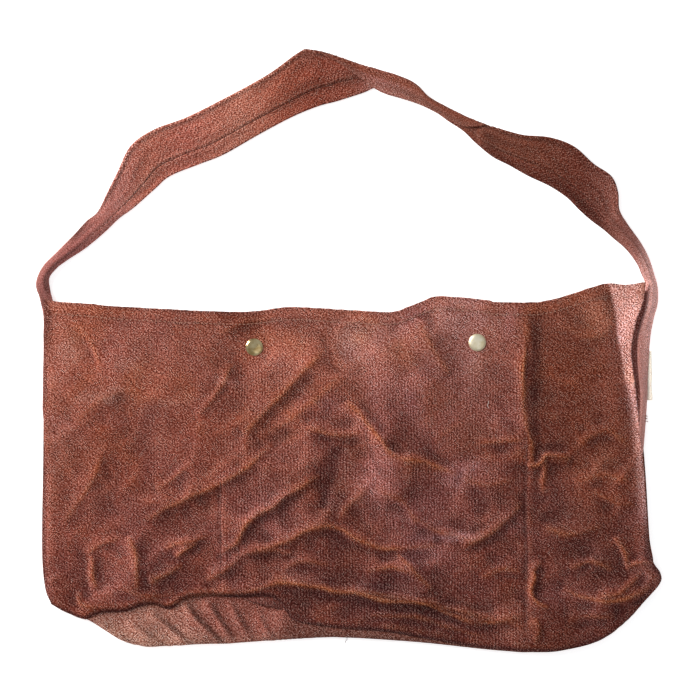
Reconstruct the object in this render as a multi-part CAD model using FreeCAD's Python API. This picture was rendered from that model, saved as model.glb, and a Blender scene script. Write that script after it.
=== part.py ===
"""Soft shoulder mail sack, lying flat on its back with its mouth snapped shut.

A front and a back panel of heavy cloth are joined by a gusset strip. At the sides the gusset is tucked inward
between the panels, and at the bottom it is folded outward. A cloth shoulder strap starts at the top of each side
gusset. Two ring-spring snaps close the mouth, and a patch pocket hangs inside the front panel.

Millimetres. +X runs across the sack to its right, +Y towards the strap, +Z up from the surface that the sack lies on.
The origin is on that surface, under the middle of the whole outline, strap included.
"""

import FreeCAD
import Part

import math
import os

V = FreeCAD.Vector

# Cloth and levels above the surface that the sack lies on
CLOTH = 1.2
GAP = 6.4                                # between the two panels, inside the closed sack
BACK_TOP = CLOTH
FRONT_BOTTOM = BACK_TOP + GAP
FRONT_TOP = FRONT_BOTTOM + CLOTH
POCKET_BOTTOM = FRONT_BOTTOM - CLOTH
BETWEEN_BODIES = 0.3                     # room between pieces that move apart
THREAD_WIDTH = 0.8
THREAD_HEIGHT = 0.4

# Gusset: half its width shows on each side of its fold
GUSSET_HALF = 40.0
SIDE_GUSSET_FOOT_Y = -206.0

# Strap
STRAP_THICK = 5.0
STRAP_ROOT_LEFT = (-257.0, 44.5)
STRAP_ROOT_RIGHT = (255.5, 65.0)
STRAP_END_BOTTOM = 3.2
STRAP_END_TOP = 5.2

# Snaps: the two places on the panels, and the radii of the pieces
SNAP_PLACES = {"left": (-82.0, 2.5), "right": (109.0, 6.5)}
CAP_RADIUS = 7.5
CAP_HEIGHT = 2.4
CAP_SHANK_RADIUS = 1.6
CAP_SHANK_FLARE = 2.3
SOCKET_RADIUS = 5.6
SOCKET_BORE = 2.75
SOCKET_BOTTOM = BACK_TOP + 1.4
SOCKET_ROOF = 1.2
SPRING_RING_RADIUS = 2.98
SPRING_WIRE_RADIUS = 0.34
SPRING_LEVEL = 4.4
STUD_FLANGE_RADIUS = 5.0
STUD_FLANGE_HEIGHT = 0.9
STUD_NECK_RADIUS = 2.05
STUD_BULB_RADIUS = 2.45
STUD_TOP = 5.3
POST_SHANK_RADIUS = 1.3
POST_SHANK_TOP = 3.6
POST_HEAD_RADIUS = 5.0
POST_HEAD_HEIGHT = 0.5
FIT = 0.2                                # radial room where a shank passes through cloth

# Patch pocket, from its mouth to the bottom seam
POCKET_LEFT = -115.0
POCKET_RIGHT = 150.0
POCKET_MOUTH_Y = -68.0
SEAM_INSET = 4.0
HEM_DEPTH = 10.0

# Label tab, sewn under the right strap end
LABEL_TOP_Y = -1.0
LABEL_LENGTH = 42.0
LABEL_OUT_X = 260.0

# Outlines, as points along smooth curves
FRONT_TOP_EDGE = [(-262, 43), (-203, 37), (-152, 34), (-60, 36), (0, 34), (32, 33), (62, 42), (92, 46), (146, 41),
                  (172, 42), (217, 56), (253, 57)]
RIGHT_SIDE = [(253, 57), (245, 25), (241, 2), (243, -25), (248, -60), (254, -105), (257, -150), (261, -178),
              (268.8, -193), (262, -207), (240, -231), (205, -251), (160, -257.3), (100, -256), (42, -248), (0, -246)]
FRONT_SEAM_LEFT = [(0, -246), (-48, -232), (-85, -217), (-116, -211.5), (-145, -213), (-190, -223), (-224, -230)]
LEFT_SIDE = [(-224, -230), (-246, -225), (-259, -209), (-264, -185), (-263, -106), (-263, -22), (-262, 43)]
GUSSET_FOLD = [(258, -212), (240, -231), (205, -251), (160, -257.3), (100, -256), (42, -248), (0, -246), (-62, -247),
               (-124, -252), (-170, -253.5), (-196, -249), (-211, -238), (-224, -230), (-246, -225), (-257, -212)]

BACK_TOP_EDGE = [(-260, 38), (-150, 30), (0, 29), (90, 39), (160, 36), (215, 49), (247, 49)]
BACK_SIDES = [(247, 49), (246, 0), (250, -60), (254, -110), (257, -160), (261, -189), (254, -208), (234, -228),
              (198, -246), (155, -252), (100, -251), (0, -242), (-62, -243), (-124, -247), (-172, -248), (-198, -242),
              (-216, -229), (-240, -222), (-255, -206), (-260, -180), (-260, -60), (-260, 38)]

STRAP_OUTER = [(-264.5, 45.5), (-268.8, 57), (-265, 69), (-253, 82), (-229, 109), (-212, 128), (-200, 152),
               (-187, 176), (-170, 187.5), (-128, 205.5), (-80, 231.5), (-43, 255.5), (-30, 257.5), (0, 248),
               (38, 236), (64, 221), (107, 198), (150, 184), (176, 182), (207, 161), (227, 149), (229, 124),
               (247.5, 95.5), (257, 77), (258.5, 66)]
STRAP_INNER = [(-253.5, 45.5), (-258.5, 60), (-250, 77), (-215, 99.5), (-184, 124), (-160, 147), (-122, 163.5),
               (-75, 186), (-28, 211), (22, 225), (46, 217), (83, 198), (108, 177), (148, 154), (182, 137.5),
               (207, 113.5), (232, 92.5), (249, 70), (252.5, 66)]
STRAP_SEAM = [(-178, 136), (-150, 160), (-112, 177), (-70, 199), (-30, 220), (8, 231), (40, 223), (80, 204),
              (120, 178), (160, 158), (196, 136), (226, 105)]


def spline(points):
    """One smooth edge through the points."""
    curve = Part.BSplineCurve()
    curve.interpolate([V(x, y, 0) for x, y in points])
    return curve.toShape()


def slab(edges, low, high):
    """The flat region inside a closed run of edges, between two levels."""
    face = Part.Face(Part.Wire(edges))
    face.translate(V(0, 0, low))
    solid = face.extrude(V(0, 0, high - low))
    return solid


def plate(corners, low, high):
    """A flat plate with straight sides."""
    ring = [V(x, y, 0) for x, y in corners]
    return slab(Part.makePolygon(ring + [ring[0]]).Edges, low, high)


def turned(profile, place):
    """A solid of revolution about the vertical through a place, from (radius, level) points."""
    ring = [V(r, 0, z) for r, z in profile]
    face = Part.Face(Part.makePolygon(ring + [ring[0]]))
    solid = face.revolve(V(0, 0, 0), V(0, 0, 1), 360)
    solid.translate(V(place[0], place[1], 0))
    return solid


def post_hole(place, radius, low, high):
    return Part.makeCylinder(radius, high - low, V(place[0], place[1], low))


def beside(points, distance):
    """The line moved sideways, to the left of its direction of travel."""
    moved = []
    for i, (x, y) in enumerate(points):
        before = points[max(i - 1, 0)]
        after = points[min(i + 1, len(points) - 1)]
        run = math.hypot(after[0] - before[0], after[1] - before[1])
        moved.append((x - distance * (after[1] - before[1]) / run, y + distance * (after[0] - before[0]) / run))
    return moved


def closed_by_lines(points, *corners):
    """A smooth line's edge, and straight edges from its end past the corners back to its start."""
    ring = [points[-1], *corners, points[0]]
    lines = [Part.LineSegment(V(*a, 0), V(*b, 0)).toShape() for a, b in zip(ring, ring[1:])]
    return [spline(points), *lines]


def thread(points, low):
    """A run of sewing thread lying on cloth: a narrow strip along a smooth line."""
    left = beside(points, THREAD_WIDTH / 2)
    right = beside(points, -THREAD_WIDTH / 2)
    ends = [Part.LineSegment(V(*left[k], 0), V(*right[k], 0)).toShape() for k in (0, -1)]
    return slab(Part.sortEdges([spline(left), spline(right), *ends])[0], low, low + THREAD_HEIGHT)


def hem_line(edge):
    """A line along a top edge, a hem's depth below it, that stops short of the side seams."""
    (left, left_y), *between, (right, right_y) = edge
    trimmed = [(left + SEAM_INSET, left_y), *between, (right - SEAM_INSET, right_y)]
    return [(x, y - HEM_DEPTH) for x, y in trimmed]


# Panels

def front_panel():
    panel = slab([spline(FRONT_TOP_EDGE), spline(RIGHT_SIDE), spline(FRONT_SEAM_LEFT), spline(LEFT_SIDE)],
                 FRONT_BOTTOM, FRONT_TOP)
    for place in SNAP_PLACES.values():
        panel = panel.cut(post_hole(place, CAP_SHANK_RADIUS + FIT, FRONT_BOTTOM, FRONT_TOP))
    return panel


def back_panel():
    """Its underside has a shallow seat for each post head, so the heads are level with the cloth."""
    panel = slab([spline(BACK_TOP_EDGE), spline(BACK_SIDES)], 0, BACK_TOP)
    for place in SNAP_PLACES.values():
        panel = panel.cut(post_hole(place, POST_SHANK_RADIUS + FIT, 0, BACK_TOP))
        panel = panel.cut(post_hole(place, POST_HEAD_RADIUS + FIT, 0, POST_HEAD_HEIGHT))
    return panel


def inner_pocket():
    seam = [(POCKET_RIGHT, -249), (60, -245), (0, -239), (-60, -222), (POCKET_LEFT, -206)]
    return plate([(POCKET_LEFT, POCKET_MOUTH_Y), (POCKET_RIGHT, POCKET_MOUTH_Y)] + seam, POCKET_BOTTOM, FRONT_BOTTOM)


# Gusset

def side_gusset(top, foot, inward):
    """A strip folded lengthwise, its fold tucked inward: a V lying on its side, run from the mouth to the foot."""
    high = FRONT_BOTTOM - BETWEEN_BODIES
    middle = (BACK_TOP + high) / 2
    half = CLOTH / 2
    section = [(0, high), (GUSSET_HALF, middle + half), (GUSSET_HALF + half, middle), (GUSSET_HALF, middle - half),
               (0, BACK_TOP), (0, BACK_TOP + CLOTH), (GUSSET_HALF - 6, middle), (0, high - CLOTH)]
    ring = [V(top[0] + inward * depth, top[1], z) for depth, z in section]
    face = Part.Face(Part.makePolygon(ring + [ring[0]]))
    return face.extrude(V(foot[0] - top[0], foot[1] - top[1], 0))


def bottom_gusset():
    """A strip folded lengthwise, its fold along the sack's lower outline: a channel open towards the mouth."""
    low = BACK_TOP
    high = POCKET_BOTTOM - BETWEEN_BODIES
    whole = slab(closed_by_lines(GUSSET_FOLD), low, high)
    fold_inside = beside(GUSSET_FOLD, -CLOTH)
    past_mouth = fold_inside[0][1] + 20
    corners = [(fold_inside[k][0], past_mouth) for k in (-1, 0)]
    room = slab(closed_by_lines(fold_inside, *corners), low + CLOTH, high - CLOTH)
    return whole.cut(room)


# Strap

def strap():
    ends = [Part.LineSegment(V(*STRAP_OUTER[k], 0), V(*STRAP_INNER[k], 0)).toShape() for k in (0, -1)]
    ring = Part.sortEdges([spline(STRAP_OUTER), spline(STRAP_INNER), *ends])[0]
    return slab(ring, 0, STRAP_THICK)


def strap_left_end():
    x, y = STRAP_ROOT_LEFT
    return plate([(x - 5, y), (x + 4.5, y), (x + 5.5, y - 40), (x - 4, y - 40)], STRAP_END_BOTTOM, STRAP_END_TOP)


def strap_right_end():
    x, y = STRAP_ROOT_RIGHT
    return plate([(x - 3.5, y), (x + 3, y), (x + 3.5, y - 60), (x + 2.5, y - 133), (x - 6, y - 133), (x - 8, y - 50)],
                 STRAP_END_BOTTOM, STRAP_END_TOP)


def end_bartack(x, y):
    """A short box of stitches that holds a strap end to the gusset."""
    rows = [thread([(x - 3, y - 6 * k), (x, y - 6 * k), (x + 3, y - 6 * k)], STRAP_END_TOP) for k in range(2)]
    return Part.Compound(rows)


def label_tab():
    inner_x = LABEL_OUT_X - 6.5
    low = STRAP_END_BOTTOM - 0.6
    corners = [(inner_x, LABEL_TOP_Y), (LABEL_OUT_X, LABEL_TOP_Y), (LABEL_OUT_X, LABEL_TOP_Y - LABEL_LENGTH),
               (inner_x, LABEL_TOP_Y - LABEL_LENGTH)]
    return plate(corners, low, STRAP_END_BOTTOM)


# Snaps

def snap_cap(place):
    """A domed cap on the front panel, with a shank that goes through the cloth and is flared inside the socket."""
    z = FRONT_TOP
    roof = FRONT_BOTTOM - SOCKET_ROOF
    dome_start = 6.9
    steps = 10
    profile = [(0, z + CAP_HEIGHT)]
    for k in range(1, steps + 1):
        angle = math.radians(90 * k / steps)
        profile.append((dome_start * math.sin(angle), z + 0.9 + (CAP_HEIGHT - 0.9) * math.cos(angle)))
    profile += [(7.3, z + 0.72), (CAP_RADIUS, z + 0.4), (7.3, z + 0.1), (6.9, z), (CAP_SHANK_RADIUS, z),
                (CAP_SHANK_RADIUS, roof), (CAP_SHANK_FLARE, roof - 0.1), (CAP_SHANK_FLARE, roof - 0.4),
                (1.0, roof - 0.5), (1.0, z - 0.2), (0, z - 0.2)]
    return turned(profile, place)


def snap_socket(place):
    """Hangs under the front panel and takes the stud, with a groove for its ring spring."""
    z = FRONT_BOTTOM
    roof = z - SOCKET_ROOF
    groove = SPRING_RING_RADIUS + SPRING_WIRE_RADIUS + 0.1
    half = SPRING_WIRE_RADIUS + 0.1
    profile = [(CAP_SHANK_RADIUS + 0.05, z), (SOCKET_RADIUS, z), (SOCKET_RADIUS, z - 0.9), (4.9, z - 1.3),
               (4.7, SOCKET_BOTTOM + 0.4), (4.3, SOCKET_BOTTOM), (SOCKET_BORE + 0.4, SOCKET_BOTTOM),
               (SOCKET_BORE, SOCKET_BOTTOM + 0.4), (SOCKET_BORE, SPRING_LEVEL - half), (groove, SPRING_LEVEL - half),
               (groove, SPRING_LEVEL + half), (SOCKET_BORE, SPRING_LEVEL + half), (SOCKET_BORE, roof),
               (CAP_SHANK_RADIUS + 0.05, roof)]
    return turned(profile, place)


def snap_spring(place):
    """A ring of spring wire in the socket's groove, split so that it can open over the stud."""
    ring = Part.makeTorus(SPRING_RING_RADIUS, SPRING_WIRE_RADIUS, V(place[0], place[1], SPRING_LEVEL))
    split = Part.makeBox(2, 1, 2, V(place[0] + SPRING_RING_RADIUS - 1, place[1] - 0.5, SPRING_LEVEL - 1))
    return ring.cut(split)


def snap_stud(place):
    """Stands on the back panel inside the sack; its bulb goes into the socket."""
    z = BACK_TOP
    bore = POST_SHANK_RADIUS + 0.05
    profile = [(bore, z), (STUD_FLANGE_RADIUS, z), (STUD_FLANGE_RADIUS, z + 0.5), (4.6, z + STUD_FLANGE_HEIGHT),
               (2.5, z + STUD_FLANGE_HEIGHT), (STUD_NECK_RADIUS, z + 1.5), (STUD_NECK_RADIUS, 3.9),
               (STUD_BULB_RADIUS, 4.5), (STUD_BULB_RADIUS, 4.9), (1.9, STUD_TOP), (0, STUD_TOP),
               (0, POST_SHANK_TOP + 0.3), (bore, POST_SHANK_TOP + 0.3)]
    return turned(profile, place)


def snap_post(place):
    """Comes through the back panel from outside and is clinched in the stud."""
    profile = [(0, 0), (POST_HEAD_RADIUS - 0.2, 0), (POST_HEAD_RADIUS, 0.2), (POST_HEAD_RADIUS, POST_HEAD_HEIGHT),
               (POST_SHANK_RADIUS, POST_HEAD_HEIGHT), (POST_SHANK_RADIUS, POST_SHANK_TOP), (0, POST_SHANK_TOP)]
    return turned(profile, place)


# Threads

def pocket_thread():
    rows = []
    for x, foot in ((POCKET_LEFT + SEAM_INSET, -204), (POCKET_RIGHT - SEAM_INSET, -246)):
        middle = (POCKET_MOUTH_Y + foot) / 2
        rows.append(thread([(x, POCKET_MOUTH_Y), (x, middle), (x, foot)], FRONT_TOP))
    return Part.Compound(rows)


def main():
    left_top = (-262.0, 34.0)
    right_top = (250.0, 44.0)
    nodes = {
        "front_panel": front_panel(),
        "back_panel": back_panel(),
        "inner_pocket": inner_pocket(),
        "left_gusset": side_gusset(left_top, (-262.0, SIDE_GUSSET_FOOT_Y), 1),
        "right_gusset": side_gusset(right_top, (258.5, SIDE_GUSSET_FOOT_Y), -1),
        "bottom_gusset": bottom_gusset(),
        "strap": strap(),
        "strap_left_end": strap_left_end(),
        "strap_right_end": strap_right_end(),
        "label_tab": label_tab(),
        "front_hem_thread": thread(hem_line(FRONT_TOP_EDGE), FRONT_TOP),
        "back_hem_thread": thread(hem_line(BACK_TOP_EDGE[1:-2]), BACK_TOP),
        "pocket_thread": pocket_thread(),
        "strap_seam_thread": thread(STRAP_SEAM, STRAP_THICK),
        "left_bartack_thread": end_bartack(STRAP_ROOT_LEFT[0] + 0.5, STRAP_ROOT_LEFT[1] - 26),
        "right_bartack_thread": end_bartack(STRAP_ROOT_RIGHT[0] - 3, STRAP_ROOT_RIGHT[1] - 120),
    }
    for side, place in SNAP_PLACES.items():
        nodes[side + "_snap_cap"] = snap_cap(place)
        nodes[side + "_snap_socket"] = snap_socket(place)
        nodes[side + "_snap_spring"] = snap_spring(place)
        nodes[side + "_snap_stud"] = snap_stud(place)
        nodes[side + "_snap_post"] = snap_post(place)
    os.makedirs("parts", exist_ok=True)
    for name, shape in nodes.items():
        shape.exportStep("parts/" + name + ".step")
    whole = Part.Compound(list(nodes.values())).BoundBox
    print("nodes", len(nodes), "all valid", all(s.isValid() and s.Volume > 0 for s in nodes.values()))
    print("box", [round(v, 2) for v in (whole.XMin, whole.XMax, whole.YMin, whole.YMax, whole.ZMin, whole.ZMax)])


main()
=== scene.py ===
"""Looks of the shoulder mail sack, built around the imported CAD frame.

Shapes are worked out in millimetres in the frame's own axes and turned into metres when a mesh is made.
Each cloth piece is a grid: rows run down the sack (or along a strip), columns run across it.
"""

import math

import bpy
import numpy as np
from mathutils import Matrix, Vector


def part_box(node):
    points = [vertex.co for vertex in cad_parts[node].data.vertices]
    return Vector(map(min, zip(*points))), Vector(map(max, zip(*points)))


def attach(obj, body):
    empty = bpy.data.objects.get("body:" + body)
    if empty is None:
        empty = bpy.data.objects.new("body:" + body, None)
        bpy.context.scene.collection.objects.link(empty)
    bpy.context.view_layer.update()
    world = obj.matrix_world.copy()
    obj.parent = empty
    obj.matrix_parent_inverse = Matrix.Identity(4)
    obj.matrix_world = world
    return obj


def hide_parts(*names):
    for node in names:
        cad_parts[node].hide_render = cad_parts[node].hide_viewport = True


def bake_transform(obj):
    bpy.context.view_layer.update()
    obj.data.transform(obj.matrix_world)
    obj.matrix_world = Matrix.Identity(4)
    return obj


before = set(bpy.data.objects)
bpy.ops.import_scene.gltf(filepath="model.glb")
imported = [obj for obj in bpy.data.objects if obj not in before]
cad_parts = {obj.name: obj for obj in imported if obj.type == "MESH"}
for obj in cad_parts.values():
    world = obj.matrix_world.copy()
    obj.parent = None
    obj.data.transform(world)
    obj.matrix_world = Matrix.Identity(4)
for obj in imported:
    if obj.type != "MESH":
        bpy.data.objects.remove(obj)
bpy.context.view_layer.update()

MM = 0.001
CLOTH = 1.2
SEED = 11
GRID = 1.32

# Levels in mm above the surface that the sack lies on
FRONT_TOP = 8.8
FRONT_EDGE = 7.0
BACK_TOP = 1.2

# Outline of the front panel, in mm: top and bottom run left to right, the sides run down
TOP_EDGE = [
    (-262, 43), (-252, 41), (-224, 39), (-189, 36), (-95, 32), (-52, 36), (0, 33.5), (35, 32), (50, 36.5),
    (63, 41.5), (77, 45.5), (117, 42), (125, 40.5), (162, 40.5), (187, 46.5), (218, 56), (236, 55),
    (252.5, 57.5)]
RIGHT_EDGE = [
    (252.5, 57.5), (250.3, 40), (245, 25), (241, 3), (241.3, -9), (243.5, -26), (245.6, -43), (247.6, -60),
    (249.4, -80), (251.3, -100), (254, -140), (256, -170), (260.5, -183), (266.2, -192), (265.2, -201),
    (249.5, -219)]
BOTTOM_EDGE = [
    (-256, -218), (-246, -223.5), (-228, -230.5), (-221, -228), (-211, -225), (-192, -224), (-177, -219),
    (-166, -219), (-154, -222), (-141, -213.5), (-122, -211), (-95, -212), (-66, -212), (-55, -224),
    (-46, -232), (-12, -238), (31, -241.5), (69, -248), (112, -255), (163, -259), (190, -256),
    (215, -248.5), (236, -233), (249.5, -219)]
LEFT_EDGE = [
    (-262, 43), (-262, 20), (-262.3, -20), (-263, -100), (-263.8, -146), (-263.6, -181), (-261, -205),
    (-256, -218)]
HEM_DEPTH = 10.0
SNAP_FLAT = 19.0
STEEP = 0.3

# Outline of the back panel and of the bottom gusset's fold, in mm
BACK_TOP_EDGE = [(-259, 38), (-150, 30), (0, 29), (90, 39), (160, 36), (215, 49), (247, 49)]
BACK_RIGHT_EDGE = [(247, 49), (246, 0), (250, -60), (254, -110), (257, -160), (260, -189), (245, -219)]
BACK_BOTTOM_EDGE = [
    (-252, -214), (-240, -221), (-216, -228), (-198, -240), (-172, -247), (-124, -246), (-62, -242),
    (0, -242), (100, -250), (155, -252), (198, -246), (234, -228), (245, -219)]
BACK_LEFT_EDGE = [(-259, 38), (-260, -60), (-260, -180), (-252, -214)]
GUSSET_FOLD = [
    (-253, -216), (-241, -223.5), (-224, -231.5), (-210, -240.5), (-196, -249), (-181, -253.5),
    (-167, -254.5), (-140, -253), (-94, -251), (-34, -247), (-4, -246.5), (60, -250.5), (129, -257.5),
    (163, -258), (215, -247), (240, -227), (247, -219)]

# Fold ridges of the front panel: height, width of the gentle side, width of the steep side, line. All in mm.
# The steep side is on the right hand of the line's direction.
CREASES = [
    (2.0, 8, 5, [(-178, -148), (-148, -132), (-118, -118), (-97, -106), (-82, -97), (-62, -83)]),
    (3.0, 8, 4, [(-112, -177), (-96, -167), (-85, -147), (-64, -136), (-47, -124), (-23, -106)]),
    (2.8, 8, 5, [(-101, -180), (-79, -171), (-51, -158), (-27, -153), (-9, -156), (9, -163),
        (31, -169), (73, -169)]),
    (3.2, 8, 5, [(-97, -210), (-65, -199), (-47, -200), (-21, -206), (5, -210), (31, -216),
        (66, -218), (112, -237)]),
    (1.5, 6, 4, [(-93, -175), (-72, -170), (-51, -171)]),
    (1.6, 7, 4, [(-38, -67), (-12, -73), (11, -70)]),
    (3.4, 12, 6, [(92, -109), (65, -98), (39, -90), (25, -74), (11, -60), (-6, -42)]),
    (3.0, 15, 8, [(-92, -74), (-60, -42), (-38, -18), (-20, 0)]),
    (-2.6, 10, 10, [(-12, -82), (-17, -110), (-22, -140)]),
    (1.8, 14, 14, [(-76, -80), (-40, -50), (-9, -19)]),
    (1.5, 7, 5, [(-14, 14), (3, 24), (20, 25), (36, 16)]),
    (2.2, 11, 8, [(86, -20), (71, 4), (56, 30)]),
    (1.5, 6, 5, [(73, -83), (86, -71), (101, -61)]),
    (3.0, 13, 6, [(155, -99), (151, -60), (151, 0), (152, 36)]),
    (3.8, 5, 3, [(190, -94), (176, -91), (170, -89.5), (165, -91), (160, -97), (150, -98)]),
    (1.6, 5, 3, [(166, -91), (165, -105), (166, -124)]),
    (3.0, 5, 2.4, [(168, -222), (157, -216), (153, -207), (157, -195), (158, -187), (166, -178)]),
    (2.0, 5, 2.6, [(224, -160), (232, -174), (235, -187)]),
    (2.4, 5, 2.6, [(263, -184), (252, -182.5), (244, -183), (233, -186)]),
    (2.0, 5, 5, [(209, -207), (226, -206), (239, -197), (248, -189)]),
    (2.8, 10, 12, [(180, -203), (200, -211), (231, -211), (258, -203)]),
    (2.2, 11, 6, [(72, -204), (56, -190), (42, -173)]),
    (1.2, 6, 5, [(52, -140), (70, -152), (89, -161), (108, -165), (135, -142)]),
    (1.6, 6, 4, [(-161, -172), (-140, -163), (-120, -157)]),
    (1.7, 6, 4, [(-173, -200), (-158, -192), (-142, -183)]),
    (2.2, 5, 3, [(-149, -178), (-140, -170), (-132, -163)]),
    (1.3, 6, 5, [(-168, -120), (-150, -109), (-132, -97)]),
    (2.3, 4, 3, [(-214, -206), (-218, -198), (-221, -188), (-222, -177)]),
    (1.9, 4, 3, [(-231, -208), (-230, -217), (-226, -220), (-214, -223)]),
    (1.4, 9, 7, [(-246, -150), (-222, -118), (-204, -80)]),
    (1.1, 8, 8, [(-235, -60), (-205, -40), (-176, -36)]),
    (1.2, 8, 6, [(-200, -205), (-176, -210), (-150, -207)]),
    (1.5, 8, 7, [(20, -118), (48, -132), (60, -150)]),
    (1.3, 8, 6, [(96, -112), (120, -118), (143, -112)]),
    (1.6, 9, 7, [(168, -150), (190, -158), (214, -150)]),
    (1.3, 9, 7, [(190, -112), (214, -106), (240, -112)]),
    (1.5, 9, 7, [(110, -196), (128, -188), (148, -190)]),
    (1.8, 7, 5, [(90, -228), (124, -234), (150, -228)]),
    (1.4, 8, 7, [(186, -236), (204, -228), (226, -226)]),
    (1.4, 5, 3, [(106, -81), (126, -77), (147, -75)]),
    (2.0, 7, 4, [(94, -174), (118, -160), (138, -144), (148, -128)]),
    (1.8, 7, 4, [(-112, 11), (-88, 22), (-60, 31)]),
    (1.4, 6, 4, [(-130, -58), (-112, -38), (-100, -12)]),
    (1.3, 6, 4, [(-240, 22), (-222, 4), (-212, -22)]),
    (1.4, 6, 5, [(14, -118), (-2, -134), (-10, -150)]),
    (1.5, 7, 5, [(196, -78), (222, -70), (240, -84)]),
    (1.3, 6, 5, [(176, 26), (200, 12), (224, 14)]),
    (2.2, 8, 4, [(-183, -206), (-185, -184), (-193, -160)]),
    (1.9, 5, 3, [(-178, -218), (-150, -216), (-126, -210), (-95, -209)]),
    (1.3, 5, 4, [(-226, -178), (-212, -166), (-196, -160)]),
    (1.6, 6, 4, [(-120, -196), (-104, -188), (-92, -178)]),
    (1.4, 6, 4, [(-60, -186), (-40, -180), (-18, -184)]),
    (1.5, 6, 4, [(10, -190), (34, -186), (60, -194)]),
    (1.4, 5, 2.5, [(0, -207), (50, -214), (92, -222), (120, -231), (146, -239)]),
    (1.2, 4, 2.5, [(18, -226), (70, -234), (116, -246)]),
    (1.6, 5, 2.5, [(156, -250), (160, -240), (156, -230)]),
    (1.3, 5, 3, [(206, -120), (226, -132), (244, -134)]),
    (1.4, 5, 3, [(186, -186), (204, -180), (222, -188)])]

# Pleats of the bottom gusset, in the same form
GUSSET_PLEATS = [
    (3.2, 5, 2.0, [(-110, -252), (-124, -238), (-134, -228), (-142, -215)]),
    (2.6, 5, 2.0, [(-137, -253), (-149, -243), (-160, -234), (-172, -225)]),
    (2.4, 4, 2.0, [(-100, -251), (-108, -238), (-116, -226), (-124, -213)]),
    (1.8, 4, 2.0, [(-84, -249), (-92, -236), (-100, -222), (-104, -213)]),
    (1.6, 4, 2.2, [(-160, -253), (-176, -243), (-190, -233)]),
    (1.4, 4, 2.2, [(-66, -248), (-74, -236), (-80, -222)]),
    (1.3, 4, 2.2, [(-186, -252), (-204, -241), (-216, -233)]),
    (1.2, 4, 2.0, [(-120, -250), (-130, -243), (-142, -238)])]

# Snap places, pocket and its seams, in mm
SNAPS = {"left": (-82.0, 2.5), "right": (109.0, 6.5)}
POCKET_X = (-115.0, 150.0)
POCKET_MOUTH = -68.0
PALE_FOLD = [(222, 47), (228, 27), (231, 1), (237, -26), (243, -46), (248, -70)]

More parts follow.
